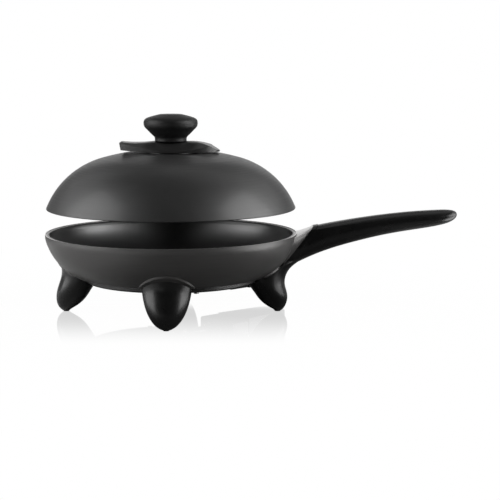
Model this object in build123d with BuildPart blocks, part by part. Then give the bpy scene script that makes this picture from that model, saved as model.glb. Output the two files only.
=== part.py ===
from build123d import *
import os
from math import asin, cos, degrees, radians, sin, sqrt

os.makedirs("parts", exist_ok=True)

# Electric frypan with long handle, four feet, lifted lid and plug-in control.
# Millimetres. X runs to the handle, Y to the back, Z up, floor at Z = 0.

# Driving sizes of the pan
RIM_R = 140.0
RIM_TOP = 89.0
SHOULDER_Z = 86.6
BEND_R = 17.1
BEND_TURN = 16.3
WALL_R = 64.6
PAN_UNDER = 42.6
PAN_WALL = 4.5
FLOOR_TOP = 47.6
FLOOR_TURN = 56.0
BEAD_WIDTH = 1.0
SEAT_DEPTH = 0.6

# Driving sizes of the feet, reaches measured inward from the rim
FOOT_INSET = 21.3
FOOT_TOP = 60.0
PAD_PROUD = 0.9
PAD_R = 3.2
PAD_TALL = 3.4
ARCH_MARGIN = 3.4
ARCH_SKIN = 1.6
FOOT_SCREW_INSET = 28.5
FOOT_SCREW_SEAT = 25.0
FOOT_SCREW_R = 2.0
FOOT_SCREW_LONG = 18.0
FOOT_BORE_R = 3.4
FOOT_BOSS_R = 4.5
FOOT_BOSS_Z = 37.0
FOOT_BOSS_TALL = 12.0

# Driving sizes of the handle
HANDLE_LONG = 178.2
COLLAR_THICK = 3.3
COLLAR_PROUD = 0.8
COLLAR_TUCK = 0.4
HANDLE_SCREW_PAST = 6.0
HANDLE_SCREW_R = 2.0
HANDLE_BORE_R = 4.0
HANDLE_BORE_Z = 45.0
HANDLE_SCREW_SEAT = 68.0
HANDLE_SCREW_TIP = 88.0
LUG_BORE_Z = 60.0

# Driving sizes of the lid, knob and steam vent
LID_LIFT = 27.5
LID_WALL = 2.0
LID_CROWN_R = 290.0
LID_CROWN_TURN = 15.5
LID_SLOPE = 68.8
SEAT_R = 50.2
SEAT_THICK = 2.4
VENT_TALL = 13.0
VENT_LIFT = 1.5
VENT_REACH = 54.6
VENT_HALF_DEPTH = 29.5
VENT_BARREL_R = 46.0
VENT_STEP_R = 45.6
VENT_STEP_DROP = 5.4
VENT_TAB_HALF = 12.5
VENT_TAB_LIFT = 2.0
VENT_SPIGOT_R = 27.0
VENT_HUB_R = 11.0
VENT_WALL = 2.5
VENT_CAVITY = 3.8
VENT_CHANNEL = 12.0
SHUTTER_THICK = 1.0
VENT_HOLE_R = 2.4
VENT_HOLE_RING = 17.75
VENT_HOLE_STEP = 30.0
BUSH_R = 6.0
KNOB_STEM_R = 17.6
KNOB_R = 30.0
KNOB_TALL = 29.4
KNOB_WAIST = 2.0
KNOB_WIDEST_Z = 19.6
INSERT_R = 4.5
INSERT_TALL = 14.0
KNOB_SCREW_R = 2.5
WASHER_R = 9.0
WASHER_THICK = 1.0

# Driving sizes of the heater and socket under the pan
SOCKET_ANGLE = 45.0
SOCKET_INSET = 70.5
SOCKET_TOP = 38.5
COIL_TUBE_R = 3.25
POST_R = 3.0
PIN_Z = 28.5
PIN_SIDE = 13.0
PIN_R = 2.4
ROD_SHORT = 2.0
PIN_SHORT = 6.0
SLEEVE_R = 4.5
ROD_R = 3.0
TUBE_R = 4.6
TUBE_LONG = 47.5
RIB_WIDE = 8.0
RING_INSET = 44.0
RING_WIDE = 14.0
RING_UNDER = 35.5
RING_EDGE = 1.5
COVER_THICK = 1.2
COVER_BOSS_R = 4.5
COVER_SLOT = 8.0
RING_SCREW_ANGLE = 20.0
RING_SCREW_LONG = 10.0
SMALL_SCREW_R = 1.5
SMALL_HEAD_R = 2.8
SMALL_HEAD_TALL = 1.8
SHROUD_BACK = 6.5
SHROUD_LONG = 24.5
SHROUD_HALF = 27.0
SHROUD_UNDER = 18.5
SHROUD_WALL = 3.0
SHROUD_SCREW_SIDE = 21.0
SCREW_SINK = 4.0
SCREW_SINK_R = 3.0

# Driving sizes of the plug-in control
NOSE_GAP = 1.0
CONTROL_GAP = 3.0
CONTROL_LONG = 71.0
CONTROL_HALF_IN = 26.0
CONTROL_HALF_OUT = 19.5
CONTROL_ROUND = 10.0
CONTROL_UNDER = 18.0
CONTROL_SPLIT = 31.0
CONTROL_TOP = 46.0
CONTROL_WALL = 2.2
SLOPE_Z = 34.5
SLOPE_LONG = 25.0
DIAL_BACK = 20.0
DIAL_R = 15.5
DIAL_TALL = 8.0
SHAFT_R = 3.0
SHAFT_GRIP = 4.0
LENS_AHEAD = 5.6
LENS_R = 2.6
GROMMET_Z = 24.5
GROMMET_R = 5.5
GROMMET_LONG = 8.0
CORD_R = 3.6
CONTROL_SCREW_BACK = 6.0
CONTROL_SCREW_SIDE = 17.0
CONTROL_SCREW_GRIP = 7.0
THERMOSTAT_AHEAD = 12.0
THERMOSTAT_LONG = 20.0
THERMOSTAT_WIDE = 24.0
THERMOSTAT_TALL = 11.0
CONTACT_R = 3.6
CONTACT_LONG = 14.0

# Fits, and the length by which a cut runs past the piece it cuts
FREE = 0.2
SLIDE = 0.05
RUN = 0.1
PLUG_GAP = 0.5
LID_GAP = 0.3
PAST = 20.0

# Sizes worked out from the ones above
HANDLE_REACH = RIM_R + HANDLE_LONG
HANDLE_SCREW_X = RIM_R + HANDLE_SCREW_PAST
AXIS_X = (RIM_R - HANDLE_REACH) / 2
WALL_CENTRE_Z = SHOULDER_Z + (WALL_R - BEND_R) * sin(radians(BEND_TURN))
WALL_TURN = degrees(asin((WALL_CENTRE_Z - PAN_UNDER) / WALL_R)) - BEND_TURN
SEAT_Z = RIM_TOP - SEAT_DEPTH
FOOT_REACH = RIM_R - FOOT_INSET
FOOT_SCREW_SPOT = RIM_R - FOOT_SCREW_INSET
LID_EDGE_R = RIM_R - BEAD_WIDTH - LID_GAP
LID_EDGE_Z = RIM_TOP + LID_LIFT
LID_START = sin(radians(LID_CROWN_TURN))
LID_SIDE_R = (LID_EDGE_R - LID_CROWN_R * LID_START) / (sin(radians(LID_SLOPE)) - LID_START)
LID_RISE = (LID_CROWN_R * (1 - cos(radians(LID_CROWN_TURN)))
            + LID_SIDE_R * (cos(radians(LID_CROWN_TURN)) - cos(radians(LID_SLOPE))))
LID_APEX = LID_EDGE_Z + LID_RISE
VENT_SEAT_Z = LID_APEX - LID_CROWN_R + sqrt(LID_CROWN_R ** 2 - SEAT_R ** 2)
VENT_LIP_Z = VENT_SEAT_Z + VENT_LIFT
VENT_PEAK_Z = VENT_SEAT_Z + VENT_TALL
KNOB_Z = VENT_PEAK_Z + FREE
WASHER_Z = VENT_SEAT_Z - SEAT_THICK - WASHER_THICK
LEAD_X = cos(radians(SOCKET_ANGLE))
LEAD_Y = sin(radians(SOCKET_ANGLE))
RING_OUT_R = RIM_R - RING_INSET
RING_IN_R = RING_OUT_R - RING_WIDE
RING_SCREW_SPOT = (RING_OUT_R + RING_IN_R) / 2
SHROUD_IN = RIM_R - SOCKET_INSET
SHROUD_WALL_END = SHROUD_IN + SHROUD_BACK
SHROUD_OUT = SHROUD_IN + SHROUD_LONG
SHROUD_MID = (SHROUD_UNDER + SOCKET_TOP) / 2
SHROUD_TALL = SOCKET_TOP - SHROUD_UNDER
SHROUD_SCREW_S = (SHROUD_IN + SHROUD_WALL_END) / 2
TUBE_START = SHROUD_IN - TUBE_LONG
PIN_END = SHROUD_OUT - PIN_SHORT
COIL_R = SHROUD_IN + POST_R - SHROUD_BACK + RUN
POST_S = sqrt(COIL_R ** 2 - PIN_SIDE ** 2)
COIL_GAP = degrees(asin(PIN_SIDE / COIL_R) + asin(POST_R / COIL_R))
COVER_SCREW_SPOT = (TUBE_START + RING_IN_R) / 2
NOSE_START = SHROUD_WALL_END + NOSE_GAP
NOSE_TALL = SHROUD_TALL - 2 * SHROUD_WALL - 2 * PLUG_GAP
NOSE_HALF = SHROUD_HALF - SHROUD_WALL - PLUG_GAP
CONTROL_START = SHROUD_OUT + CONTROL_GAP
CONTROL_END = CONTROL_START + CONTROL_LONG
SLOPE_END = CONTROL_START + SLOPE_LONG
DIAL_S = CONTROL_END - DIAL_BACK
LENS_S = SLOPE_END + LENS_AHEAD
CONTROL_SCREW_S = SLOPE_END - CONTROL_SCREW_BACK
THERMOSTAT_S = SLOPE_END + THERMOSTAT_AHEAD
SHAFT_Z = CONTROL_UNDER + CONTROL_WALL + THERMOSTAT_TALL / 2
FOOT_ANGLES = {"right": 0, "back": 90, "left": 180, "front": 270}

# Planes and axes that the pieces are drawn on
AXIS = Axis((AXIS_X, 0, 0), (0, 0, 1))
SIDE = Plane(origin=(AXIS_X, 0, 0), x_dir=(1, 0, 0), z_dir=(0, -1, 0))
LEAD = Plane(origin=(AXIS_X, 0, 0), x_dir=(LEAD_X, LEAD_Y, 0), z_dir=(LEAD_Y, -LEAD_X, 0))

# Height, middle and radial half-width from the foot's own reach, sideways half-width
FOOT_SECTIONS = [
    (PAD_PROUD, 0.0, 3.9, 4.8),
    (4.0, -0.4, 7.6, 10.2),
    (12.0, -4.2, 14.8, 17.4),
    (22.0, -8.2, 18.4, 22.2),
    (31.0, -12.4, 20.0, 24.8),
    (40.0, -16.6, 21.4, 26.4),
    (50.0, -17.6, 22.2, 27.0),
    (FOOT_TOP, -17.6, 22.6, 27.0),
]
# Reach past the rim and height of the upper and lower outline points of the joint,
# then crease half-width, crown height and half-width of the section
JOINT_TOP = (18.0, 96.6)
JOINT_LOW = (-22.0, 46.0)
JOINT = (JOINT_TOP, JOINT_LOW, 14.0, 4.8, 20.5)
LUG_SECTIONS = [
    ((-18.0, 85.0), (-43.0, 55.0), 46.0, 2.0, 52.0),
    ((6.0, 91.2), (-28.0, 48.5), 23.0, 3.2, 30.0),
    JOINT,
]
# The same for the grip, with reaches given as shares of the handle's length
GRIP_SHARES = [
    ((0.180, 99.2), (0.006, 55.8), 13.8, 5.2, 18.5),
    ((0.292, 102.8), (0.157, 67.6), 13.8, 5.6, 17.2),
    ((0.438, 106.9), (0.365, 79.0), 13.9, 5.9, 16.2),
    ((0.600, 110.6), (0.567, 87.4), 14.0, 6.0, 15.6),
    ((0.763, 113.2), (0.758, 93.1), 13.8, 6.0, 15.2),
    ((0.892, 114.4), (0.898, 97.6), 12.4, 5.6, 13.6),
    ((0.954, 114.2), (0.962, 101.4), 9.4, 4.6, 10.2),
    ((0.988, 112.6), (0.993, 105.6), 5.2, 2.6, 5.6),
    ((0.998, 110.8), (1.0, 108.4), 1.8, 0.9, 2.0),
]
# The foot under the handle leans out into the grip above its lower sections:
# height, outer reach from the rim, radial and sideways half-width
STEM_SECTIONS = [
    (31.0, -13.3, 20.4, 24.8),
    (40.0, -12.2, 22.4, 25.4),
    (46.0, -9.4, 22.6, 24.4),
    (52.0, -4.0, 22.2, 22.4),
    (57.0, 2.6, 21.2, 19.6),
    (60.4, 8.0, 19.0, 16.4),
]
STEM_START = 4


def level(height, angle=0.0, radius=0.0):
    out = Vector(cos(radians(angle)), sin(radians(angle)), 0)
    return Plane(origin=Vector(AXIS_X, 0, height) + out * radius, x_dir=out, z_dir=(0, 0, 1))


def lead_level(height):
    return level(height, SOCKET_ANGLE)


def lead_point(distance, aside, height):
    x = AXIS_X + distance * LEAD_X - aside * LEAD_Y
    y = distance * LEAD_Y + aside * LEAD_X
    return Vector(x, y, height)


def lead_spot(distance, aside, height):
    return Plane(origin=lead_point(distance, aside, height), x_dir=(LEAD_X, LEAD_Y, 0), z_dir=(0, 0, 1))


def lead_face(distance, aside=0.0, height=0.0):
    spot = lead_point(distance, aside, height)
    return Plane(origin=spot, x_dir=(-LEAD_Y, LEAD_X, 0), z_dir=(LEAD_X, LEAD_Y, 0))


def post(plane, radius, length):
    with BuildPart() as form:
        with BuildSketch(plane):
            Circle(radius)
        extrude(amount=length)
    return form.part


def tube(plane, radius, bore, length):
    with BuildPart() as form:
        with BuildSketch(plane):
            Circle(radius)
            Circle(bore, mode=Mode.SUBTRACT)
        extrude(amount=length)
    return form.part


def screw(seat, head_r, head_tall, shank_r, shank_long):
    with BuildPart() as form:
        with BuildSketch(seat):
            Circle(shank_r)
        extrude(amount=shank_long)
        with BuildSketch(seat):
            Circle(head_r)
        extrude(amount=-head_tall)
        with BuildSketch(seat.offset(-head_tall)):
            RegularPolygon(head_r * 0.5, 6)
        extrude(amount=head_tall * 0.6, mode=Mode.SUBTRACT)
    return form.part


def pan_outer(skin):
    with BuildPart() as form:
        with BuildSketch(SIDE):
            with BuildLine():
                upright = Line((RIM_R + skin, RIM_TOP), (RIM_R + skin, SHOULDER_Z))
                bend = JernArc(upright @ 1, (0, -1), BEND_R + skin, -BEND_TURN)
                wall = JernArc(bend @ 1, bend % 1, WALL_R + skin, -WALL_TURN)
                Polyline(wall @ 1, (0, (wall @ 1).Y), (0, RIM_TOP), (RIM_R + skin, RIM_TOP))
            make_face()
        revolve(axis=AXIS)
    return form.part


def foot_form(angle, margin):
    with BuildPart() as form:
        for height, middle, depth, half in FOOT_SECTIONS:
            with BuildSketch(level(height, angle, FOOT_REACH + middle)):
                Ellipse(depth + margin, half + margin)
        loft()
    return form.part


def grip_section(upper, lower, crease, crown, belly):
    """Section of handle or lug between an upper and a lower point of its side outline."""
    top = Vector(AXIS_X + RIM_R + upper[0], 0, upper[1])
    low = Vector(AXIS_X + RIM_R + lower[0], 0, lower[1])
    along = (top - low).normalized()
    half = (top - low).length / 2
    plane = Plane(origin=(top + low) / 2, x_dir=(0, 1, 0), z_dir=Vector(0, 1, 0).cross(along))
    with BuildSketch(plane) as face:
        with BuildLine():
            ThreePointArc((-crease, half - crown), (0, half), (crease, half - crown))
            Spline(
                (crease, half - crown),
                (belly, 0),
                (belly * 0.72, -half * 0.72),
                (0, -half),
                (-belly * 0.72, -half * 0.72),
                (-belly, 0),
                (-crease, half - crown),
            )
        make_face()
    return face.sketch


joint_along = Vector(JOINT_TOP[0] - JOINT_LOW[0], 0, JOINT_TOP[1] - JOINT_LOW[1]).normalized()
joint_plane = Plane(
    origin=(AXIS_X + RIM_R + JOINT_TOP[0], 0, JOINT_TOP[1]),
    x_dir=(0, 1, 0),
    z_dir=(joint_along.Z, 0, -joint_along.X),
)
grip_sections = [JOINT] + [
    ((up * HANDLE_LONG, up_z), (low * HANDLE_LONG, low_z), crease, crown, belly)
    for (up, up_z), (low, low_z), crease, crown, belly in GRIP_SHARES
]


def collar_section(distance):
    """Section of the collar on the plane that lies this far past the joint."""
    ends = []
    for start, end in zip(JOINT[:2], grip_sections[1][:2]):
        run = Vector(end[0] - start[0], 0, end[1] - start[1])
        share = distance / run.dot(joint_plane.z_dir)
        ends.append(Vector(start[0], 0, start[1]) + run * share)
    top = ends[0] + joint_along * COLLAR_PROUD
    low = ends[1] + joint_along * COLLAR_TUCK
    crease, crown, belly = JOINT[2:]
    return (top.X, top.Z), (low.X, low.Z), crease + COLLAR_PROUD / 2, crown, belly - COLLAR_TUCK


def swept(sections):
    with BuildPart() as form:
        loft(sections=[grip_section(*values) for values in sections])
    return form.part


with BuildPart() as stem_form:
    for height, middle, depth, half in FOOT_SECTIONS[:STEM_START]:
        with BuildSketch(level(height, FOOT_ANGLES["right"], FOOT_REACH + middle)):
            Ellipse(depth, half)
    for height, reach, depth, half in STEM_SECTIONS:
        with BuildSketch(level(height, FOOT_ANGLES["right"], RIM_R + reach - depth)):
            Ellipse(depth, half)
    loft()

lug_form = swept(LUG_SECTIONS)
grip_form = swept(grip_sections)


def arch(angle):
    with BuildPart() as form:
        add(foot_form(angle, ARCH_MARGIN))
        add(pan_outer(ARCH_SKIN), mode=Mode.INTERSECT)
        split(bisect_by=Plane.XY.offset(PAN_UNDER), keep=Keep.TOP)
    return form.part


def foot_cut(angle):
    with BuildPart() as form:
        add(pan_outer(ARCH_SKIN))
        add(post(level(RING_UNDER), RING_OUT_R, FOOT_TOP - RING_UNDER))
        add(post(level(FOOT_BOSS_Z, angle, FOOT_SCREW_SPOT), FOOT_BOSS_R, PAST))
        add(post(level(0, angle, FOOT_SCREW_SPOT), FOOT_BORE_R, FOOT_SCREW_SEAT))
        add(post(level(0, angle, FOOT_SCREW_SPOT), FOOT_SCREW_R + FREE, FOOT_BOSS_Z + 1))
        add(post(level(0, angle, FOOT_REACH), PAD_R, PAD_TALL))
    return form.part


def pin_form(side):
    with BuildPart() as form:
        foot = lead_spot(POST_S, side * PIN_SIDE, PIN_Z - POST_R)
        add(post(foot, POST_R, PAN_UNDER - PIN_Z + POST_R))
        add(post(lead_face(POST_S, side * PIN_SIDE, PIN_Z), PIN_R, PIN_END - POST_S))
    return form.part


def dome(inset):
    """Solid under the lid's outer face moved inward by the inset."""
    with BuildPart() as form:
        with BuildSketch(SIDE):
            with BuildLine():
                crown = JernArc((0, LID_APEX - inset), (1, 0), LID_CROWN_R - inset, -LID_CROWN_TURN)
                flank = JernArc(crown @ 1, crown % 1, LID_SIDE_R - inset, LID_CROWN_TURN - LID_SLOPE)
                Polyline(flank @ 1, (0, (flank @ 1).Y), crown @ 0)
            make_face()
        revolve(axis=AXIS)
    return form.part


def control_outline(inset):
    """Tapered plan of the control, seen from above, moved inward by the inset."""
    start = CONTROL_START + 2 * inset
    end = CONTROL_END - inset
    with BuildSketch() as plan:
        with BuildLine():
            Polyline(
                (start, -CONTROL_HALF_IN + inset),
                (end, -CONTROL_HALF_OUT + inset),
                (end, CONTROL_HALF_OUT - inset),
                (start, CONTROL_HALF_IN - inset),
                close=True,
            )
        make_face()
        fillet(plan.vertices().sort_by(Axis.X)[-2:], CONTROL_ROUND - inset)
    return plan.sketch


def control_block(inset, low, high):
    with BuildPart() as form:
        with BuildSketch(lead_level(low)):
            add(control_outline(inset))
        extrude(amount=high - low)
    return form.part


# Cast pan with handle lug, foot arches, foot bosses and probe rib
with BuildPart() as pan:
    add(pan_outer(0))
    add(lug_form)
    for angle in FOOT_ANGLES.values():
        add(arch(angle))
        add(post(level(FOOT_BOSS_Z, angle, FOOT_SCREW_SPOT), FOOT_BOSS_R, FOOT_BOSS_TALL))
    with BuildSketch(SIDE):
        with BuildLine():
            upright = Line((RIM_R - PAN_WALL, RIM_TOP + PAST), (RIM_R - PAN_WALL, SHOULDER_Z))
            bend = JernArc(upright @ 1, (0, -1), BEND_R - PAN_WALL, -BEND_TURN)
            wall = JernArc(bend @ 1, bend % 1, WALL_R - PAN_WALL, BEND_TURN - FLOOR_TURN)
            drop = (wall @ 1).Y - FLOOR_TOP
            ease = JernArc(wall @ 1, wall % 1, drop / (1 - sin(radians(FLOOR_TURN))), FLOOR_TURN - 90)
            Polyline(ease @ 1, (0, FLOOR_TOP), (0, RIM_TOP + PAST), upright @ 0)
        make_face()
    revolve(axis=AXIS, mode=Mode.SUBTRACT)
    add(post(level(SEAT_Z), RIM_R - BEAD_WIDTH, PAST), mode=Mode.SUBTRACT)
    with BuildSketch(lead_face(TUBE_START, 0, (PIN_Z + PAN_UNDER) / 2)):
        Rectangle(RIB_WIDE, PAN_UNDER - PIN_Z)
    extrude(amount=COIL_R - COIL_TUBE_R - TUBE_START)
    with BuildSketch(lead_face(SHROUD_IN, 0, (SOCKET_TOP + PAN_UNDER) / 2)):
        Rectangle(2 * SHROUD_HALF, PAN_UNDER - SOCKET_TOP)
    extrude(amount=SHROUD_LONG)
    add(post(lead_face(0, 0, PIN_Z), TUBE_R, SHROUD_OUT), mode=Mode.SUBTRACT)
    for turn in FOOT_ANGLES.values():
        spot = level(RING_UNDER + COVER_THICK, turn, COVER_SCREW_SPOT)
        add(post(spot, COVER_BOSS_R, PAN_UNDER - RING_UNDER - COVER_THICK))
        add(post(spot, SMALL_SCREW_R, PAN_UNDER - RING_UNDER), mode=Mode.SUBTRACT)
        spot = level(RING_UNDER, turn + RING_SCREW_ANGLE, RING_SCREW_SPOT)
        add(post(spot, SMALL_SCREW_R, RING_SCREW_LONG), mode=Mode.SUBTRACT)
        spot = level(FOOT_SCREW_SEAT, turn, FOOT_SCREW_SPOT)
        add(post(spot, FOOT_SCREW_R, FOOT_SCREW_LONG), mode=Mode.SUBTRACT)
    with BuildSketch(SIDE):
        with Locations((COIL_R, PAN_UNDER)):
            Circle(COIL_TUBE_R)
    revolve(axis=AXIS, mode=Mode.SUBTRACT)
    spot = Plane(origin=(AXIS_X + HANDLE_SCREW_X, 0, LUG_BORE_Z))
    add(post(spot, HANDLE_SCREW_R, HANDLE_SCREW_TIP - LUG_BORE_Z), mode=Mode.SUBTRACT)
    for side in (-1, 1):
        spot = lead_spot(SHROUD_SCREW_S, side * SHROUD_SCREW_SIDE, SOCKET_TOP)
        add(post(spot, SMALL_SCREW_R, SCREW_SINK), mode=Mode.SUBTRACT)
pan.part.label = "pan"
export_step(pan.part, "parts/pan.step")

# Collar between pan lug and handle, proud at the top and tucked in below
with BuildPart() as handle_collar:
    loft(sections=[grip_section(*collar_section(0)), grip_section(*collar_section(COLLAR_THICK))])
    add(pan_outer(ARCH_SKIN), mode=Mode.SUBTRACT)
    spot = Plane(origin=(AXIS_X + HANDLE_SCREW_X, 0, 0))
    add(post(spot, HANDLE_SCREW_R + FREE, RIM_TOP), mode=Mode.SUBTRACT)
handle_collar.part.label = "handle_collar"
export_step(handle_collar.part, "parts/handle_collar.step")

# Handle moulded in one with the foot under it
with BuildPart() as handle_body:
    add(grip_form)
    split(bisect_by=joint_plane.offset(COLLAR_THICK), keep=Keep.TOP)
    add(stem_form.part)
    add(foot_cut(FOOT_ANGLES["right"]), mode=Mode.SUBTRACT)
    add(lug_form, mode=Mode.SUBTRACT)
    add(handle_collar.part, mode=Mode.SUBTRACT)
    spot = Plane(origin=(AXIS_X + HANDLE_SCREW_X, 0, HANDLE_BORE_Z))
    add(post(spot, HANDLE_SCREW_R + FREE, RIM_TOP - HANDLE_BORE_Z), mode=Mode.SUBTRACT)
    add(post(spot, HANDLE_BORE_R, HANDLE_SCREW_SEAT - HANDLE_BORE_Z), mode=Mode.SUBTRACT)
handle_body.part.label = "handle_body"
export_step(handle_body.part, "parts/handle_body.step")

# Screw that pulls the handle onto the lug
with BuildPart() as handle_screw:
    seat = Plane(origin=(AXIS_X + HANDLE_SCREW_X, 0, HANDLE_SCREW_SEAT))
    add(screw(seat, HANDLE_BORE_R - FREE, 3, HANDLE_SCREW_R, HANDLE_SCREW_TIP - HANDLE_SCREW_SEAT))
handle_screw.part.label = "handle_screw"
export_step(handle_screw.part, "parts/handle_screw.step")

# Three separate feet
with BuildPart() as foot_left:
    add(foot_form(FOOT_ANGLES["left"], 0))
    add(foot_cut(FOOT_ANGLES["left"]), mode=Mode.SUBTRACT)
foot_left.part.label = "foot_left"
export_step(foot_left.part, "parts/foot_left.step")

with BuildPart() as foot_front:
    add(foot_form(FOOT_ANGLES["front"], 0))
    add(foot_cut(FOOT_ANGLES["front"]), mode=Mode.SUBTRACT)
foot_front.part.label = "foot_front"
export_step(foot_front.part, "parts/foot_front.step")

with BuildPart() as foot_back:
    add(foot_form(FOOT_ANGLES["back"], 0))
    add(foot_cut(FOOT_ANGLES["back"]), mode=Mode.SUBTRACT)
foot_back.part.label = "foot_back"
export_step(foot_back.part, "parts/foot_back.step")

# Rubber pads in the foot tips
with BuildPart() as foot_pads:
    for angle in FOOT_ANGLES.values():
        add(post(level(0, angle, FOOT_REACH), PAD_R, PAD_TALL))
foot_pads.part.label = "foot_pads"
export_step(foot_pads.part, "parts/foot_pads.step")

# Screws up through the feet
with BuildPart() as foot_screws:
    for angle in FOOT_ANGLES.values():
        seat = level(FOOT_SCREW_SEAT, angle, FOOT_SCREW_SPOT)
        add(screw(seat, FOOT_BORE_R - FREE, 3, FOOT_SCREW_R, FOOT_SCREW_LONG))
foot_screws.part.label = "foot_screws"
export_step(foot_screws.part, "parts/foot_screws.step")

# Black ring under the pan, open where the socket passes
with BuildPart() as base_ring:
    with BuildSketch(SIDE):
        with BuildLine():
            Polyline(
                (RING_IN_R, RING_UNDER),
                (RING_OUT_R - RING_EDGE, RING_UNDER),
                (RING_OUT_R, RING_UNDER + RING_EDGE),
                (RING_OUT_R, PAN_UNDER),
                (RING_IN_R, PAN_UNDER),
                close=True,
            )
        make_face()
    revolve(axis=AXIS)
    with BuildSketch(lead_face(0, 0, (SHROUD_UNDER + PAN_UNDER) / 2)):
        Rectangle(2 * (SHROUD_HALF + FREE), PAN_UNDER - SHROUD_UNDER)
    extrude(amount=RING_OUT_R + PAST, mode=Mode.SUBTRACT)
    for angle in FOOT_ANGLES.values():
        spot = level(RING_UNDER, angle + RING_SCREW_ANGLE, RING_SCREW_SPOT)
        add(post(spot, SMALL_SCREW_R, RING_SCREW_LONG), mode=Mode.SUBTRACT)
base_ring.part.label = "base_ring"
export_step(base_ring.part, "parts/base_ring.step")

with BuildPart() as base_ring_screws:
    for angle in FOOT_ANGLES.values():
        seat = level(RING_UNDER, angle + RING_SCREW_ANGLE, RING_SCREW_SPOT)
        add(screw(seat, SMALL_HEAD_R, SMALL_HEAD_TALL, SMALL_SCREW_R, RING_SCREW_LONG))
base_ring_screws.part.label = "base_ring_screws"
export_step(base_ring_screws.part, "parts/base_ring_screws.step")

# Sheet cover under the heater
with BuildPart() as bottom_cover:
    with BuildSketch(level(RING_UNDER)):
        Circle(RING_IN_R)
    extrude(amount=COVER_THICK)
    with BuildSketch(lead_level(RING_UNDER)):
        with Locations((RING_IN_R, 0)):
            Rectangle(2 * (RING_IN_R - TUBE_START + COVER_SLOT), 4 * TUBE_R)
        with Locations((SHROUD_OUT, 0)):
            Rectangle(2 * (SHROUD_LONG + COVER_SLOT), 2 * (SHROUD_HALF + FREE))
    extrude(amount=COVER_THICK, mode=Mode.SUBTRACT)
    for angle in FOOT_ANGLES.values():
        add(post(level(RING_UNDER, angle, COVER_SCREW_SPOT), SMALL_SCREW_R, COVER_THICK), mode=Mode.SUBTRACT)
bottom_cover.part.label = "bottom_cover"
export_step(bottom_cover.part, "parts/bottom_cover.step")

with BuildPart() as cover_screws:
    for angle in FOOT_ANGLES.values():
        seat = level(RING_UNDER, angle, COVER_SCREW_SPOT)
        add(screw(seat, SMALL_HEAD_R, SMALL_HEAD_TALL, SMALL_SCREW_R, PAN_UNDER - RING_UNDER))
cover_screws.part.label = "cover_screws"
export_step(cover_screws.part, "parts/cover_screws.step")

# Tubular heater pressed into the groove under the pan, and its two terminal pins
with BuildPart() as heating_element:
    first = radians(SOCKET_ANGLE + COIL_GAP)
    facing = Plane(
        origin=(AXIS_X, 0, 0),
        x_dir=(cos(first), sin(first), 0),
        z_dir=(sin(first), -cos(first), 0),
    )
    with BuildSketch(facing):
        with Locations((COIL_R, PAN_UNDER)):
            Circle(COIL_TUBE_R)
    revolve(axis=AXIS, revolution_arc=360 - 2 * COIL_GAP)
heating_element.part.label = "heating_element"
export_step(heating_element.part, "parts/heating_element.step")

with BuildPart() as terminal_pins:
    for side in (-1, 1):
        add(pin_form(side))
terminal_pins.part.label = "terminal_pins"
export_step(terminal_pins.part, "parts/terminal_pins.step")

# Ceramic sleeves around the pins
with BuildPart() as terminal_insulators:
    for side in (-1, 1):
        start = lead_face(SHROUD_IN, side * PIN_SIDE, PIN_Z)
        add(tube(start, SLEEVE_R, PIN_R, SHROUD_BACK + NOSE_GAP / 2))
terminal_insulators.part.label = "terminal_insulators"
export_step(terminal_insulators.part, "parts/terminal_insulators.step")

# Guide tube that takes the temperature probe
with BuildPart() as probe_tube:
    add(post(lead_face(TUBE_START - RING_EDGE, 0, PIN_Z), TUBE_R, TUBE_LONG + RING_EDGE))
    add(post(lead_face(TUBE_START, 0, PIN_Z), ROD_R + FREE, TUBE_LONG), mode=Mode.SUBTRACT)
probe_tube.part.label = "probe_tube"
export_step(probe_tube.part, "parts/probe_tube.step")

# Socket shroud around the pins
with BuildPart() as socket_shroud:
    with BuildSketch(lead_face(SHROUD_IN, 0, SHROUD_MID)):
        RectangleRounded(2 * SHROUD_HALF, SHROUD_TALL, 3)
    extrude(amount=SHROUD_LONG)
    with BuildSketch(lead_face(SHROUD_WALL_END, 0, SHROUD_MID)):
        RectangleRounded(2 * (SHROUD_HALF - SHROUD_WALL), SHROUD_TALL - 2 * SHROUD_WALL, 2)
    extrude(amount=SHROUD_OUT - SHROUD_WALL_END, mode=Mode.SUBTRACT)
    add(post(lead_face(SHROUD_IN, 0, PIN_Z), ROD_R + FREE, SHROUD_LONG), mode=Mode.SUBTRACT)
    for side in (-1, 1):
        add(post(lead_face(SHROUD_IN, side * PIN_SIDE, PIN_Z), SLEEVE_R, SHROUD_LONG), mode=Mode.SUBTRACT)
        spot = lead_spot(SHROUD_SCREW_S, side * SHROUD_SCREW_SIDE, SHROUD_UNDER)
        add(post(spot, SMALL_SCREW_R, SHROUD_TALL), mode=Mode.SUBTRACT)
        add(post(spot, SCREW_SINK_R, SCREW_SINK), mode=Mode.SUBTRACT)
socket_shroud.part.label = "socket_shroud"
export_step(socket_shroud.part, "parts/socket_shroud.step")

with BuildPart() as socket_screws:
    for side in (-1, 1):
        seat = lead_spot(SHROUD_SCREW_S, side * SHROUD_SCREW_SIDE, SHROUD_UNDER + SCREW_SINK)
        add(screw(seat, SMALL_HEAD_R, SMALL_HEAD_TALL, SMALL_SCREW_R, SHROUD_TALL))
socket_screws.part.label = "socket_screws"
export_step(socket_screws.part, "parts/socket_screws.step")

# Domed lid with a flat seat for the vent and three steam holes
with BuildPart() as seat_plug:
    add(dome(0))
    add(post(level(VENT_SEAT_Z - SEAT_THICK), SEAT_R + SEAT_THICK, SEAT_THICK), mode=Mode.INTERSECT)

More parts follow.
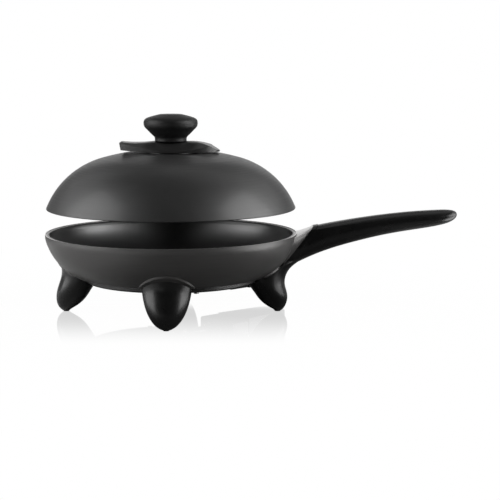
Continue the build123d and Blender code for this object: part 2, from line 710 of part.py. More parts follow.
with BuildPart() as lid_dome:
    add(dome(0))
    add(dome(LID_WALL), mode=Mode.SUBTRACT)
    add(seat_plug.part)
    add(post(level(VENT_SEAT_Z), SEAT_R, PAST), mode=Mode.SUBTRACT)
    add(post(level(VENT_SEAT_Z - PAST), KNOB_SCREW_R, 2 * PAST), mode=Mode.SUBTRACT)
    for step in (-1, 0, 1):
        spot = level(VENT_SEAT_Z - PAST, 180 + step * VENT_HOLE_STEP, VENT_HOLE_RING)
        add(post(spot, VENT_HOLE_R, 2 * PAST), mode=Mode.SUBTRACT)
    fillet(lid_dome.edges().filter_by(GeomType.CIRCLE).sort_by(Axis.Z)[:2], 0.8)
lid_dome.part.label = "lid_dome"
export_step(lid_dome.part, "parts/lid_dome.step")

# Oval steam vent cap that turns around the bush, with a thumb tab at the left
with BuildPart() as vent_plan:
    with BuildSketch(level(VENT_SEAT_Z)):
        with BuildLine():
            front = Spline(
                (-VENT_REACH - 4, -VENT_TAB_HALF),
                (-VENT_REACH / 2, -VENT_HALF_DEPTH * 0.82),
                (0, -VENT_HALF_DEPTH),
                (VENT_REACH / 2, -VENT_HALF_DEPTH * 0.88),
                (VENT_REACH, 0),
                tangents=((1, -0.45), (0, 1)),
            )
            mirror(front, about=Plane.XZ)
            Line((-VENT_REACH - 4, -VENT_TAB_HALF), (-VENT_REACH - 4, VENT_TAB_HALF))
        make_face()
    extrude(amount=VENT_TALL)

with BuildPart() as vent_cap:
    with BuildSketch(SIDE):
        with BuildLine():
            step = VENT_PEAK_Z - VENT_STEP_DROP
            stem = KNOB_STEM_R + 0.5
            tab = -VENT_REACH
            ThreePointArc((stem, VENT_PEAK_Z), (36, VENT_PEAK_Z - 2.2), (VENT_STEP_R, step))
            Line((VENT_STEP_R, step), (VENT_STEP_R + 0.5, step - 0.7))
            ThreePointArc((VENT_STEP_R + 0.5, step - 0.7), (50.9, step - 3.2), (VENT_REACH, VENT_LIP_Z + 1))
            Polyline(
                (VENT_REACH, VENT_LIP_Z + 1),
                (VENT_REACH, VENT_LIP_Z),
                (-VENT_SPIGOT_R, VENT_LIP_Z),
                (tab, VENT_LIP_Z + VENT_TAB_LIFT),
                (tab - 1.6, VENT_PEAK_Z - 1.4),
                (tab, VENT_PEAK_Z - 0.7),
            )
            ThreePointArc((tab, VENT_PEAK_Z - 0.7), (-36, VENT_PEAK_Z - 1.8), (-stem, VENT_PEAK_Z))
            Line((-stem, VENT_PEAK_Z), (stem, VENT_PEAK_Z))
        make_face()
    extrude(amount=VENT_HALF_DEPTH + PAST, both=True)
    add(vent_plan.part, mode=Mode.INTERSECT)
    barrel_end = Plane(
        origin=(AXIS_X - 2 * VENT_REACH, 0, VENT_PEAK_Z - VENT_BARREL_R),
        x_dir=(0, 1, 0),
        z_dir=(1, 0, 0),
    )
    add(post(barrel_end, VENT_BARREL_R, 4 * VENT_REACH), mode=Mode.INTERSECT)
    add(post(level(VENT_SEAT_Z), VENT_SPIGOT_R, VENT_LIFT))
    with BuildSketch(level(VENT_SEAT_Z)):
        Circle(VENT_SPIGOT_R - VENT_WALL)
        Circle(VENT_HUB_R, mode=Mode.SUBTRACT)
    extrude(amount=VENT_CAVITY, mode=Mode.SUBTRACT)
    with BuildSketch(SIDE):
        with Locations((-VENT_REACH, VENT_SEAT_Z + (VENT_CAVITY + SHUTTER_THICK) / 2)):
            Rectangle(2 * (VENT_REACH - VENT_HOLE_RING), VENT_CAVITY - SHUTTER_THICK)
    extrude(amount=VENT_CHANNEL / 2, both=True, mode=Mode.SUBTRACT)
    add(post(level(VENT_SEAT_Z), BUSH_R + RUN, VENT_TALL), mode=Mode.SUBTRACT)
vent_cap.part.label = "vent_cap"
export_step(vent_cap.part, "parts/vent_cap.step")

# Shutter disc inside the vent cap, its holes over the lid's when open
with BuildPart() as vent_shutter:
    add(tube(level(VENT_SEAT_Z), VENT_SPIGOT_R - VENT_WALL, VENT_HUB_R, SHUTTER_THICK))
    for step in (-1, 0, 1):
        spot = level(VENT_SEAT_Z, 180 + step * VENT_HOLE_STEP, VENT_HOLE_RING)
        add(post(spot, VENT_HOLE_R, SHUTTER_THICK), mode=Mode.SUBTRACT)
vent_shutter.part.label = "vent_shutter"
export_step(vent_shutter.part, "parts/vent_shutter.step")

# Bush, knob, brass insert, washer and screw through the lid
with BuildPart() as knob_bush:
    add(tube(level(VENT_SEAT_Z), BUSH_R, KNOB_SCREW_R, KNOB_Z - VENT_SEAT_Z))
knob_bush.part.label = "knob_bush"
export_step(knob_bush.part, "parts/knob_bush.step")

with BuildPart() as lid_knob:
    with BuildSketch(SIDE):
        with BuildLine():
            Polyline((0, KNOB_Z + KNOB_TALL), (0, KNOB_Z), (KNOB_STEM_R, KNOB_Z))
            stem = Line((KNOB_STEM_R, KNOB_Z), (KNOB_STEM_R, KNOB_Z + KNOB_WAIST))
            Spline(
                stem @ 1,
                (KNOB_STEM_R + 2.7, KNOB_Z + 6.4),
                (KNOB_R - 3.8, KNOB_Z + 12.4),
                (KNOB_R, KNOB_Z + KNOB_WIDEST_Z),
                tangents=((0, 1), (0, 1)),
            )
            Spline(
                (KNOB_R, KNOB_Z + KNOB_WIDEST_Z),
                (KNOB_R - 5.4, KNOB_Z + 25.9),
                (KNOB_R - 15.0, KNOB_Z + 28.6),
                (0, KNOB_Z + KNOB_TALL),
                tangents=((0, 1), (-1, 0)),
            )
        make_face()
    revolve(axis=AXIS)
    add(post(level(KNOB_Z), INSERT_R, INSERT_TALL), mode=Mode.SUBTRACT)
lid_knob.part.label = "lid_knob"
export_step(lid_knob.part, "parts/lid_knob.step")

with BuildPart() as knob_insert:
    add(tube(level(KNOB_Z), INSERT_R, KNOB_SCREW_R, INSERT_TALL))
knob_insert.part.label = "knob_insert"
export_step(knob_insert.part, "parts/knob_insert.step")

with BuildPart() as knob_washer:
    add(tube(level(WASHER_Z), WASHER_R, KNOB_SCREW_R, WASHER_THICK))
knob_washer.part.label = "knob_washer"
export_step(knob_washer.part, "parts/knob_washer.step")

with BuildPart() as knob_screw:
    add(screw(level(WASHER_Z), 4.6, 3.4, KNOB_SCREW_R, KNOB_Z + INSERT_TALL - WASHER_Z))
knob_screw.part.label = "knob_screw"
export_step(knob_screw.part, "parts/knob_screw.step")

# Lower half of the plug-in control, with the nose that enters the socket
with BuildPart() as control_base:
    add(control_block(0, CONTROL_UNDER, CONTROL_SPLIT))
    with BuildSketch(lead_face(NOSE_START, 0, SHROUD_MID)):
        RectangleRounded(2 * NOSE_HALF, NOSE_TALL, 2)
    extrude(amount=CONTROL_START - NOSE_START)
    add(control_block(CONTROL_WALL, CONTROL_UNDER + CONTROL_WALL, CONTROL_SPLIT), mode=Mode.SUBTRACT)
    for side in (-1, 1):
        spot = lead_spot(CONTROL_SCREW_S, side * CONTROL_SCREW_SIDE, CONTROL_UNDER)
        add(post(spot, SCREW_SINK_R + 0.8, CONTROL_SPLIT - CONTROL_UNDER))
        add(post(spot, SMALL_SCREW_R, PAST), mode=Mode.SUBTRACT)
        add(post(spot, SCREW_SINK_R, SCREW_SINK), mode=Mode.SUBTRACT)
        spot = lead_face(NOSE_START, side * PIN_SIDE, PIN_Z)
        add(post(spot, CONTACT_R, CONTACT_LONG + 2 * NOSE_GAP), mode=Mode.SUBTRACT)
    add(post(lead_face(NOSE_START, 0, PIN_Z), ROD_R, SLOPE_END - NOSE_START), mode=Mode.SUBTRACT)
    add(post(lead_face(CONTROL_END - GROMMET_LONG, 0, GROMMET_Z), GROMMET_R, PAST), mode=Mode.SUBTRACT)
control_base.part.label = "control_base"
export_step(control_base.part, "parts/control_base.step")

# Upper half of the control, sloped down under the pan
with BuildPart() as control_cover:
    add(control_block(0, CONTROL_SPLIT, CONTROL_TOP))
    with BuildSketch(LEAD):
        with BuildLine():
            Polyline(
                (CONTROL_START - 5, SLOPE_Z - 1),
                (CONTROL_START, SLOPE_Z),
                (SLOPE_END, CONTROL_TOP),
                (SLOPE_END, CONTROL_TOP + 9),
                (CONTROL_START - 5, CONTROL_TOP + 9),
                close=True,
            )
        make_face()
    extrude(amount=CONTROL_HALF_IN + 5, both=True, mode=Mode.SUBTRACT)
    fillet(control_cover.faces().sort_by(Axis.Z)[-1].edges(), 2)
    with BuildSketch(lead_level(CONTROL_SPLIT)):
        add(control_outline(CONTROL_WALL))
        with Locations((CONTROL_START, 0)):
            Rectangle(2 * (SLOPE_LONG + CONTROL_WALL), 4 * CONTROL_HALF_IN, mode=Mode.SUBTRACT)
    extrude(amount=CONTROL_TOP - CONTROL_WALL - CONTROL_SPLIT, mode=Mode.SUBTRACT)
    with BuildSketch(lead_face(CONTROL_START, 0, SHROUD_MID)):
        Rectangle(2 * NOSE_HALF, NOSE_TALL)
    extrude(amount=2 * CONTROL_WALL, mode=Mode.SUBTRACT)
    add(post(lead_spot(DIAL_S, 0, CONTROL_SPLIT), SHAFT_R + RUN, PAST), mode=Mode.SUBTRACT)
    add(post(lead_face(CONTROL_START, 0, PIN_Z), ROD_R, THERMOSTAT_S - CONTROL_START), mode=Mode.SUBTRACT)
    add(post(lead_spot(LENS_S, 0, CONTROL_SPLIT), LENS_R, PAST), mode=Mode.SUBTRACT)
    for side in (-1, 1):
        spot = lead_spot(CONTROL_SCREW_S, side * CONTROL_SCREW_SIDE, CONTROL_SPLIT)
        add(post(spot, SMALL_SCREW_R, CONTROL_SCREW_GRIP), mode=Mode.SUBTRACT)
control_cover.part.label = "control_cover"
export_step(control_cover.part, "parts/control_cover.step")

with BuildPart() as control_screws:
    for side in (-1, 1):
        seat = lead_spot(CONTROL_SCREW_S, side * CONTROL_SCREW_SIDE, CONTROL_UNDER + SCREW_SINK)
        reach = CONTROL_SPLIT + CONTROL_SCREW_GRIP - CONTROL_UNDER - SCREW_SINK
        add(screw(seat, SMALL_HEAD_R, SMALL_HEAD_TALL, SMALL_SCREW_R, reach))
control_screws.part.label = "control_screws"
export_step(control_screws.part, "parts/control_screws.step")

# Thermostat switch inside the control, probe rod and contact sleeves
with BuildPart() as thermostat:
    with BuildSketch(lead_face(THERMOSTAT_S, 0, CONTROL_UNDER + CONTROL_WALL + THERMOSTAT_TALL / 2)):
        Rectangle(THERMOSTAT_WIDE, THERMOSTAT_TALL)
    extrude(amount=THERMOSTAT_LONG)
    add(post(lead_spot(DIAL_S, 0, SHAFT_Z), SHAFT_R + RUN, PAST), mode=Mode.SUBTRACT)
thermostat.part.label = "thermostat"
export_step(thermostat.part, "parts/thermostat.step")

with BuildPart() as probe_rod:
    add(post(lead_face(TUBE_START + ROD_SHORT, 0, PIN_Z), ROD_R, THERMOSTAT_S - TUBE_START - ROD_SHORT))
probe_rod.part.label = "probe_rod"
export_step(probe_rod.part, "parts/probe_rod.step")

with BuildPart() as contact_sleeves:
    for side in (-1, 1):
        start = lead_face(NOSE_START + NOSE_GAP, side * PIN_SIDE, PIN_Z)
        add(tube(start, CONTACT_R, PIN_R + SLIDE, CONTACT_LONG))
contact_sleeves.part.label = "contact_sleeves"
export_step(contact_sleeves.part, "parts/contact_sleeves.step")

# Pilot lamp lens and the cord grommet
with BuildPart() as pilot_lens:
    add(post(lead_spot(LENS_S, 0, CONTROL_TOP - CONTROL_WALL - 1), LENS_R, CONTROL_WALL + 1))
    with BuildSketch(lead_face(LENS_S, 0, CONTROL_TOP)):
        with BuildLine():
            ThreePointArc((LENS_R, 0), (LENS_R * 0.7, 0.8), (0, 1.2))
            Polyline((0, 1.2), (0, 0), (LENS_R, 0))
        make_face()
    revolve(axis=Axis(lead_point(LENS_S, 0, 0), (0, 0, 1)))
pilot_lens.part.label = "pilot_lens"
export_step(pilot_lens.part, "parts/pilot_lens.step")

with BuildPart() as cord_grommet:
    add(tube(lead_face(CONTROL_END - GROMMET_LONG + 3, 0, GROMMET_Z), GROMMET_R, CORD_R, GROMMET_LONG))
cord_grommet.part.label = "cord_grommet"
export_step(cord_grommet.part, "parts/cord_grommet.step")

# Heat dial with finger scallops and pointer rib, and its shaft
with BuildPart() as control_dial:
    add(post(lead_spot(DIAL_S, 0, CONTROL_TOP), DIAL_R, DIAL_TALL))
    fillet(control_dial.edges().sort_by(Axis.Z)[-1], 1.2)
    with BuildSketch(lead_spot(DIAL_S, 0, CONTROL_TOP)):
        with PolarLocations(DIAL_R + 0.6, 20):
            Circle(1.4)
    extrude(amount=DIAL_TALL, mode=Mode.SUBTRACT)
    with BuildSketch(lead_spot(DIAL_S, 0, CONTROL_TOP + DIAL_TALL)):
        with Locations((4, 0)):
            SlotOverall(17, 3)
    extrude(amount=1.6)
    add(post(lead_spot(DIAL_S, 0, CONTROL_TOP), SHAFT_R, SHAFT_GRIP), mode=Mode.SUBTRACT)
control_dial.part.label = "control_dial"
export_step(control_dial.part, "parts/control_dial.step")

with BuildPart() as dial_shaft:
    add(post(lead_spot(DIAL_S, 0, SHAFT_Z), SHAFT_R, CONTROL_TOP + SHAFT_GRIP - SHAFT_Z))
dial_shaft.part.label = "dial_shaft"
export_step(dial_shaft.part, "parts/dial_shaft.step")
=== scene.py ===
import bpy
import math
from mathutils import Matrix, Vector


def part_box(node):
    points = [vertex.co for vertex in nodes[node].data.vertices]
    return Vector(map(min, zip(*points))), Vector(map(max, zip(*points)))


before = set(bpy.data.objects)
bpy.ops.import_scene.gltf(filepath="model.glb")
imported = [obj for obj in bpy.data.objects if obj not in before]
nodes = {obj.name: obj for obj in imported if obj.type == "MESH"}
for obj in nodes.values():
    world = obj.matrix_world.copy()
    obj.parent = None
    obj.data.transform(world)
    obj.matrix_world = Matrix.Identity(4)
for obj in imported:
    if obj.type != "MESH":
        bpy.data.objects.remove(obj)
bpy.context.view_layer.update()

# Places taken from the parts in model.glb, in metres
lid_low, lid_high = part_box("lid_dome")
AXIS_X = (lid_low[0] + lid_high[0]) / 2
pan_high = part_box("pan")[1]
RIM_R = pan_high[1]

# Levels and widths by which the faces of the pan and the handle get their finish, in metres
FLOOR_TOP = 0.0476
FLOOR_MARGIN = 0.001
RIM_TOP = 0.0890
RIM_DEPTH = 0.0015
BEAD_WIDTH = 0.0030
WALL = 0.0045
WALL_MARGIN = 0.0005
LUG_MARGIN = 0.001
LUG_LOW = 0.08
SHOULDER_TOP = 0.0604
SHOULDER_MARGIN = 0.0005

# Least upward part of the normal of a face of each kind
LEVEL_UP = 0.99
RIM_UP = 0.9
SHOULDER_UP = 0.5
LUG_UP = 0.40

# Range in which most of the noise lies, and height of fine grain in metres
NOISE_LOW = 0.3
NOISE_HIGH = 0.7
GRAIN_DEPTH = 0.0001


class NodeMaterial:
    """A material with an empty node tree and short helpers to fill it."""

    def __init__(self, name):
        self.material = bpy.data.materials.new(name)
        self.material.use_nodes = True
        self.tree = self.material.node_tree
        self.tree.nodes.clear()
        self.out = self.add("ShaderNodeOutputMaterial")
        self.coords = self.add("ShaderNodeTexCoord").outputs["Object"]

    def add(self, kind, inputs=(), **settings):
        made = self.tree.nodes.new(kind)
        for key, value in settings.items():
            setattr(made, key, value)
        self.feed(made, dict(inputs))
        return made

    def feed(self, node, inputs):
        """Links outputs of other nodes to the node's sockets, and writes plain values into them."""
        for key, value in inputs.items():
            if isinstance(value, bpy.types.NodeSocket):
                self.tree.links.new(value, node.inputs[key])
            else:
                node.inputs[key].default_value = value

    def math(self, operation, *values):
        return self.add("ShaderNodeMath", enumerate(values), operation=operation).outputs[0]

    def span(self, value, start, end, low, high, curve="LINEAR"):
        """Turns the range from start to end into the range from low to high."""
        limits = {"From Min": start, "From Max": end, "To Min": low, "To Max": high}
        made = self.add("ShaderNodeMapRange", {"Value": value, **limits}, interpolation_type=curve)
        return made.outputs["Result"]


class Finish(NodeMaterial):
    """A material with one principled shader, varied by noise."""

    def __init__(self, name):
        super().__init__(name)
        self.shader = self.add("ShaderNodeBsdfPrincipled")
        self.feed(self.out, {"Surface": self.shader.outputs["BSDF"]})

    def set(self, **values):
        self.feed(self.shader, {key.replace("_", " "): value for key, value in values.items()})

    def noise(self, scale, detail, coords=None):
        inputs = {"Scale": scale, "Detail": detail, "Vector": coords or self.coords}
        return self.add("ShaderNodeTexNoise", inputs).outputs["Fac"]

    def streaks(self, turns, rise):
        """Noise drawn out round the pan's axis, as spinning or turning leaves it."""
        place = self.add("ShaderNodeSeparateXYZ", {0: self.coords}).outputs
        angle = self.math("ARCTAN2", place["Y"], self.math("SUBTRACT", place["X"], AXIS_X))
        around = self.math("MULTIPLY", angle, turns)
        upward = self.math("MULTIPLY", place["Z"], rise)
        drawn = self.add("ShaderNodeCombineXYZ", {"X": around, "Z": upward}).outputs[0]
        return self.noise(scale=1.0, detail=3, coords=drawn)

    def tint(self, factor, first, second, start=NOISE_LOW, end=NOISE_HIGH):
        """Base colour that goes from the first to the second as the factor goes from start to end."""
        made = self.add("ShaderNodeValToRGB", {"Fac": factor})
        for stop, place, colour in zip(made.color_ramp.elements, (start, end), (first, second)):
            stop.position = place
            stop.color = (*colour, 1.0)
        self.feed(self.shader, {"Base Color": made.outputs["Color"]})

    def rough(self, factor, low, high):
        self.set(Roughness=self.span(factor, NOISE_LOW, NOISE_HIGH, low, high))

    def bump(self, height, strength, depth=GRAIN_DEPTH):
        made = self.add("ShaderNodeBump", {"Strength": strength, "Distance": depth, "Height": height})
        self.set(Normal=made.outputs["Normal"])


def grey(value, warm=0.0):
    return (value * (1 + warm), value, value * (1 - warm))


def lid_coat():
    s = Finish("lid_coat")
    s.tint(s.noise(scale=45, detail=4), grey(0.0112), grey(0.0140))
    s.rough(s.streaks(turns=2.0, rise=1500.0), low=0.42, high=0.52)
    s.bump(s.noise(scale=2600, detail=2), strength=0.08)
    s.set(Coat_Weight=0.14, Coat_Roughness=0.24)
    return s.material


def pan_coat():
    s = Finish("pan_coat")
    streak = s.streaks(turns=3.0, rise=2600.0)
    s.tint(streak, grey(0.058, warm=0.02), grey(0.072, warm=0.02))
    s.rough(streak, low=0.34, high=0.42)
    s.bump(s.noise(scale=2200, detail=2), strength=0.06)
    s.set(Metallic=0.35)
    return s.material


def machined(name, dull, bright):
    """Bare metal, turned clean; the lug's bright copy is partly a painted highlight."""
    s = Finish(name)
    s.tint(s.streaks(turns=6.0, rise=3400.0), grey(dull, warm=0.01), grey(bright, warm=0.01))
    s.rough(s.noise(scale=1200, detail=2), low=0.30, high=0.38)
    s.bump(s.noise(scale=2400, detail=2), strength=0.05)
    s.set(Metallic=1.0)
    return s.material


def nonstick():
    s = Finish("nonstick")
    speck = s.noise(scale=900, detail=3)
    s.tint(speck, grey(0.006), grey(0.012), start=0.35, end=0.72)
    s.rough(s.noise(scale=420, detail=2), low=0.29, high=0.31)
    s.bump(speck, strength=0.05)
    return s.material


def phenolic():
    s = Finish("phenolic")
    s.tint(s.noise(scale=60, detail=3), grey(0.0028), grey(0.0040))
    s.rough(s.noise(scale=140, detail=3), low=0.27, high=0.32)
    s.bump(s.noise(scale=1800, detail=2), strength=0.02)
    s.set(Specular_IOR_Level=0.4)
    return s.material


def moulded_black(name, greys, roughness, grain_scale=2400, shine=0.5):
    """Black plastic or rubber with a fine grain."""
    s = Finish(name)
    s.tint(s.noise(scale=50, detail=3), *map(grey, greys))
    grain = s.noise(scale=grain_scale, detail=2)
    s.rough(grain, *roughness)
    s.bump(grain, strength=0.22, depth=0.00012)
    s.set(Specular_IOR_Level=shine)
    return s.material


def metal(name, dull, bright, smoothest):
    s = Finish(name)
    s.tint(s.noise(scale=180, detail=4), dull, bright)
    s.rough(s.noise(scale=1500, detail=3), low=smoothest, high=smoothest + 0.14)
    s.bump(s.noise(scale=900, detail=3), strength=0.06)
    s.set(Metallic=1.0)
    return s.material


def ceramic():
    s = Finish("ceramic")
    s.tint(s.noise(scale=300, detail=4), (0.66, 0.64, 0.58), (0.78, 0.76, 0.70))
    s.rough(s.noise(scale=900, detail=3), low=0.55, high=0.75)
    s.bump(s.noise(scale=1600, detail=3), strength=0.15)
    return s.material


def amber_lens():
    s = Finish("amber_lens")
    s.tint(s.noise(scale=500, detail=2), (0.55, 0.05, 0.01), (0.70, 0.09, 0.02))
    s.rough(s.noise(scale=700, detail=2), low=0.06, high=0.14)
    s.set(Transmission_Weight=0.5)
    return s.material


LID = lid_coat()
COAT = pan_coat()
RIM = machined("machined_rim", dull=0.44, bright=0.52)
# Bare metal on the lug, partly a painted highlight: its colour is as light as the highlight on the lug's
# top, and it also covers faces that tilt only partly up
LUG_METAL_AND_PAINTED_HIGHLIGHT = machined("lug_metal_and_painted_highlight", dull=0.72, bright=0.82)
NONSTICK = nonstick()
PHENOLIC = phenolic()
KNOB = moulded_black("knob_plastic", greys=(0.0060, 0.0090), roughness=(0.42, 0.52), shine=0.24)
VENT = moulded_black("vent_plastic", greys=(0.0120, 0.0160), roughness=(0.30, 0.38))
CONTROL = moulded_black("control_plastic", greys=(0.0080, 0.0110), roughness=(0.40, 0.52), grain_scale=3200)
RING = moulded_black("ring_plastic", greys=(0.0070, 0.0100), roughness=(0.34, 0.44))
RUBBER = moulded_black("rubber", greys=(0.0100, 0.0150), roughness=(0.70, 0.85), grain_scale=1800)
DULL = moulded_black("dull_shoulder", greys=(0.0030, 0.0045), roughness=(0.70, 0.85), shine=0.1)
DIAL = moulded_black("dial_plastic", greys=(0.0060, 0.0085), roughness=(0.24, 0.34))
STEEL = metal("plated_steel", dull=(0.46, 0.46, 0.46), bright=(0.58, 0.57, 0.55), smoothest=0.24)
SHEET = metal("cover_sheet", dull=(0.34, 0.34, 0.34), bright=(0.42, 0.42, 0.41), smoothest=0.34)
ELEMENT = metal("heater_sheath", dull=(0.12, 0.11, 0.11), bright=(0.20, 0.18, 0.16), smoothest=0.42)
BRASS = metal("brass", dull=(0.58, 0.41, 0.17), bright=(0.72, 0.52, 0.22), smoothest=0.26)
CERAMIC = ceramic()
LENS = amber_lens()

# Finishes of each piece, and plated steel for the screws, pins and other pieces not named here
FINISHES = {
    "pan": [COAT, NONSTICK, RIM, LUG_METAL_AND_PAINTED_HIGHLIGHT],
    "handle_body": [PHENOLIC, DULL],
    "handle_collar": [PHENOLIC],
    "foot_left": [PHENOLIC],
    "foot_front": [PHENOLIC],
    "foot_back": [PHENOLIC],
    "foot_pads": [RUBBER],
    "base_ring": [RING],
    "bottom_cover": [SHEET],
    "heating_element": [ELEMENT],
    "terminal_insulators": [CERAMIC],
    "socket_shroud": [CONTROL],
    "lid_dome": [LID],
    "lid_knob": [KNOB],
    "knob_insert": [BRASS],
    "vent_cap": [VENT],
    "control_base": [CONTROL],
    "control_cover": [CONTROL],
    "thermostat": [CERAMIC],
    "contact_sleeves": [BRASS],
    "pilot_lens": [LENS],
    "cord_grommet": [RUBBER],
    "control_dial": [DIAL],
}
for name, node in nodes.items():
    node.data.materials.clear()
    for finish in FINISHES.get(name, [STEEL]):
        node.data.materials.append(finish)


def pan_finish(middle, normal):
    """Finish of a face of the pan, from the middle of the face and its normal."""
    from_axis = middle.x - AXIS_X
    reach = math.hypot(from_axis, middle.y)
    # The outer edge of the rim is as bright as the lug beside it. With the lug's upward faces it gets bare
    # metal made as light as the highlight on them, so partly a painted highlight
    if reach > RIM_R - LUG_MARGIN and middle.z > LUG_LOW and normal.z > LUG_UP:
        return LUG_METAL_AND_PAINTED_HIGHLIGHT
    if reach > RIM_R - BEAD_WIDTH and middle.z > RIM_TOP - RIM_DEPTH and normal.z > RIM_UP:
        return RIM
    inside = middle.z > FLOOR_TOP - FLOOR_MARGIN and reach < RIM_R - WALL + WALL_MARGIN
    inward = normal.z > LEVEL_UP or normal.x * from_axis + normal.y * middle.y < 0
    return NONSTICK if inside and inward else COAT


def handle_finish(middle, normal):
    """Dull on the narrow shoulder where the stem of the foot meets the grip, glossy elsewhere."""
    shoulder = abs(middle.z - SHOULDER_TOP) < SHOULDER_MARGIN and normal.z > SHOULDER_UP
    return DULL if shoulder else PHENOLIC


for name, choose in (("pan", pan_finish), ("handle_body", handle_finish)):
    for face in nodes[name].data.polygons:
        face.material_index = FINISHES[name].index(choose(face.center, face.normal))

# White studio: a floor that keeps the shadow and a curved sheet behind it, lengths in metres
STAGE_HALF = 5.0
FLOOR_FRONT = -5.0
FLOOR_BACK = 1.3
SHEET_BEND = 1.2
SHEET_TALL = 4.5
BEND_STEPS = 12
BEND_DEGREES = 90

# Shadow and mirror image that the camera sees on the floor: shares, and distances from the pan's axis
SHADOW_SHARE = 0.016
SHADOW_NEAR = 0.20
SHADOW_FAR = 0.55
SHADOW_PALE = 0.9
MIRROR_SHARE = 0.32
MIRROR_NONE = -0.20
MIRROR_FULL = -0.02
MIRROR_CLOSE = 0.0
MIRROR_END = 0.06
MIRROR_NEAR = 0.17
MIRROR_FAR = 0.34
MIRROR_BLUR = 0.03

# Floor as it lights the object: dark in the middle, pale at the sides, glossy at the right
FLOOR_DARK = 0.16
FLOOR_PALE = 0.85
LEFT_LIGHT = -0.17
LEFT_DARK = -0.03
RIGHT_DARK = 0.21
RIGHT_LIGHT = 0.38
FRONT_DARK = -0.32
FRONT_LIGHT = -0.14
BACK_LIGHT = 0.20
BACK_DARK = 0.50
BACK_SHARE = 0.15
GLOSS_BLUR = 0.05

# Sheet as it shows in gloss: white low down behind the object, and at the sides higher up
SHEET_MATTE = 0.10
SHEET_LOW = 1.1
SHEET_HIGH = 1.8
LOW_MIDDLE = 0.65
LOW_SIDE = 1.1
LOW_SIDE_SHARE = 0.2
HIGH_MIDDLE = 0.7
HIGH_SIDE = 2.2
HIGH_MIDDLE_SHARE = 0.14
HIGH_SIDE_SHARE = 0.9
HIGH_LOW_SHARE = 0.2


class Stage(NodeMaterial):
    """A studio material mixed by the place on the stage, measured from the pan's axis."""

    def __init__(self, name):
        super().__init__(name)
        self.ray = self.add("ShaderNodeLightPath").outputs
        self.glow = self.add("ShaderNodeEmission").outputs[0]
        shift = {0: self.coords, 1: (AXIS_X, 0.0, 0.0)}
        self.place = self.add("ShaderNodeVectorMath", shift, operation="SUBTRACT").outputs[0]
        self.along = self.add("ShaderNodeSeparateXYZ", {0: self.place}).outputs

    def reach(self):
        return self.add("ShaderNodeVectorMath", {0: self.place}, operation="LENGTH").outputs["Value"]

    def matte(self, value):
        return self.add("ShaderNodeBsdfDiffuse", {"Color": (value, value, value, 1)}).outputs[0]

    def shine(self, roughness):
        inputs = {"Color": (1, 1, 1, 1), "Roughness": roughness}
        return self.add("ShaderNodeBsdfGlossy", inputs).outputs[0]

    def mix(self, factor, first, second):
        return self.add("ShaderNodeMixShader", {0: factor, 1: first, 2: second}).outputs[0]

    def fade(self, value, start, end, low, high):
        return self.span(value, start, end, low, high, curve="SMOOTHSTEP")

    def close(self, shader):
        self.feed(self.out, {"Surface": shader})
        return self.material


def floor_white():
    """White to the camera, with the shadow and a mirror image near the object that fade away from it."""
    s = Stage("floor_white")
    reach = s.reach()
    shadow = s.fade(reach, SHADOW_NEAR, SHADOW_FAR, SHADOW_SHARE, 0.0)
    mirror = s.fade(s.along["Y"], MIRROR_NONE, MIRROR_FULL, 0.0, MIRROR_SHARE)
    mirror = s.math("MULTIPLY", mirror, s.fade(s.along["Y"], MIRROR_CLOSE, MIRROR_END, 1.0, 0.0))
    mirror = s.math("MULTIPLY", mirror, s.fade(reach, MIRROR_NEAR, MIRROR_FAR, 1.0, 0.0))
    seen = s.mix(shadow, s.glow, s.matte(SHADOW_PALE))
    seen = s.mix(mirror, seen, s.shine(MIRROR_BLUR))
    left = s.fade(s.along["X"], LEFT_LIGHT, LEFT_DARK, 1.0, 0.0)
    right = s.fade(s.along["X"], RIGHT_DARK, RIGHT_LIGHT, 0.0, 1.0)
    right = s.math("MULTIPLY", right, s.fade(s.along["Y"], FRONT_DARK, FRONT_LIGHT, 0.0, 1.0))
    pale = s.math("MAXIMUM", left, right)
    pale = s.math("MULTIPLY", pale, s.fade(s.along["Y"], BACK_LIGHT, BACK_DARK, 1.0, BACK_SHARE))
    lit = s.mix(pale, s.matte(FLOOR_DARK), s.matte(FLOOR_PALE))
    lit = s.mix(s.math("MULTIPLY", right, s.ray["Is Glossy Ray"]), lit, s.shine(GLOSS_BLUR))
    return s.close(s.mix(s.ray["Is Camera Ray"], lit, seen))


def sheet_white():
    """White to the camera, white in parts to gloss and glass, and dim to everything else."""
    s = Stage("sheet_white")
    mirrored = s.math("MAXIMUM", s.ray["Is Glossy Ray"], s.ray["Is Transmission Ray"])
    side = s.math("ABSOLUTE", s.along["X"])
    low = s.fade(s.along["Z"], SHEET_LOW, SHEET_HIGH, 1.0, 0.0)
    low = s.math("MULTIPLY", low, s.fade(side, LOW_MIDDLE, LOW_SIDE, 1.0, LOW_SIDE_SHARE))
    high = s.fade(side, HIGH_MIDDLE, HIGH_SIDE, HIGH_MIDDLE_SHARE, HIGH_SIDE_SHARE)
    high = s.math("MULTIPLY", high, s.fade(s.along["Z"], SHEET_LOW, SHEET_HIGH, HIGH_LOW_SHARE, 1.0))
    mirrored = s.math("MULTIPLY", mirrored, s.math("MAXIMUM", low, high))
    seen = s.math("MAXIMUM", s.ray["Is Camera Ray"], mirrored)
    return s.close(s.mix(seen, s.matte(SHEET_MATTE), s.glow))


def stage_piece(name, line, finish):
    """A smooth surface across the stage that follows a line of places in depth and height."""
    points = [(side, y, z) for y, z in line for side in (-STAGE_HALF, STAGE_HALF)]
    faces = [(2 * i, 2 * i + 1, 2 * i + 3, 2 * i + 2) for i in range(len(line) - 1)]
    mesh = bpy.data.meshes.new(name)
    mesh.from_pydata(points, [], faces)
    for face in mesh.polygons:
        face.use_smooth = True
    mesh.materials.append(finish)
    made = bpy.data.objects.new(name, mesh)
    bpy.context.scene.collection.objects.link(made)
    return made


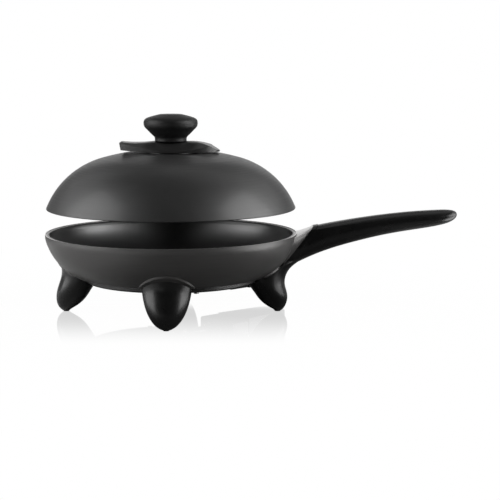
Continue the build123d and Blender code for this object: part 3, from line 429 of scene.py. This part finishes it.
floor = stage_piece("studio_floor", [(FLOOR_FRONT, 0.0), (FLOOR_BACK, 0.0)], floor_white())
turns = [math.radians(BEND_DEGREES * step / BEND_STEPS) for step in range(BEND_STEPS + 1)]
curve = [(FLOOR_BACK + SHEET_BEND * math.sin(turn), SHEET_BEND * (1 - math.cos(turn))) for turn in turns]
curve.append((FLOOR_BACK + SHEET_BEND, SHEET_TALL))
sheet = stage_piece("studio_sheet", curve, sheet_white())

# Softboxes at both sides and above: places and sizes in metres, powers in watts
SIDE_SIZE = (1.7, 2.0)
LEFT_AWAY = 1.5
LEFT_Y = -0.40
LEFT_LIFT = 0.02
LEFT_POWER = 44
RIGHT_AWAY = 1.7
RIGHT_Y = -0.25
RIGHT_LIFT = 0.08
RIGHT_POWER = 60
TOP_PLACE = (AXIS_X + 0.5, 0.9, 2.2)
TOP_AIM = (AXIS_X + 0.1, 0.0, 0.1)
TOP_SIZE = (1.6, 1.0)
TOP_POWER = 2.4
FULL_SPREAD = math.radians(180)

# Two small lamps stand for the light that comes in under the lid: place and aim along X, and power
LAMPS = ((0.017, -0.085, 0.0095), (-0.018, 0.074, 0.0056))
LAMP_Y = 0.087
LAMP_LEVEL = 0.119
WALL_Y = 0.104
WALL_LEVEL = 0.075
LAMP_SIZE = (0.045, 0.018)
LAMP_SPREAD = math.radians(80)
AIR_LIGHT = 0.05


def softbox(name, place, aim, size, power, spread=FULL_SPREAD):
    light = bpy.data.lights.new(name, "AREA")
    light.shape = "RECTANGLE"
    light.size, light.size_y = size
    light.energy = power
    light.spread = spread
    lamp = bpy.data.objects.new(name, light)
    lamp.location = place
    lamp.rotation_euler = (Vector(aim) - Vector(place)).to_track_quat("-Z", "Y").to_euler()
    lamp.visible_camera = False
    bpy.context.scene.collection.objects.link(lamp)


left = (AXIS_X - LEFT_AWAY, LEFT_Y, LEFT_LIFT + SIDE_SIZE[1] / 2)
right = (AXIS_X + RIGHT_AWAY, RIGHT_Y, RIGHT_LIFT + SIDE_SIZE[1] / 2)
softbox("softbox_left", left, (AXIS_X, *left[1:]), SIDE_SIZE, LEFT_POWER)
softbox("softbox_right", right, (AXIS_X, *right[1:]), SIDE_SIZE, RIGHT_POWER)
softbox("softbox_top", TOP_PLACE, TOP_AIM, TOP_SIZE, TOP_POWER)
for start, wall, power in LAMPS:
    place = (AXIS_X + start, LAMP_Y, LAMP_LEVEL)
    aim = (AXIS_X + wall, WALL_Y, WALL_LEVEL)
    softbox("lamp_under_lid", place, aim, LAMP_SIZE, power, LAMP_SPREAD)

world = bpy.data.worlds.new("studio_air")
world.use_nodes = True
air = world.node_tree.nodes["Background"].inputs
air["Color"].default_value = (1, 1, 1, 1)
air["Strength"].default_value = AIR_LIGHT
bpy.context.scene.world = world
bpy.context.scene.view_settings.view_transform = "Standard"

# Camera as fitted to the photograph
CAMERA_TARGET = Vector((AXIS_X + 0.08774, 0.0, 0.06895))
CAMERA_DISTANCE = 1.7
CAMERA_ELEVATION = math.radians(7.92)
FOCAL_PIXELS = 1519.6
IMAGE_PIXELS = 500
SENSOR_MM = 36.0

lens = bpy.data.cameras.new("photo_camera")
lens.sensor_fit = "HORIZONTAL"
lens.sensor_width = SENSOR_MM
lens.lens = FOCAL_PIXELS * SENSOR_MM / IMAGE_PIXELS
camera = bpy.data.objects.new("photo_camera", lens)
back = Vector((0.0, -math.cos(CAMERA_ELEVATION), math.sin(CAMERA_ELEVATION)))
camera.location = CAMERA_TARGET + back * CAMERA_DISTANCE
camera.rotation_euler = (-back).to_track_quat("-Z", "Y").to_euler()
bpy.context.scene.collection.objects.link(camera)
bpy.context.scene.camera = camera
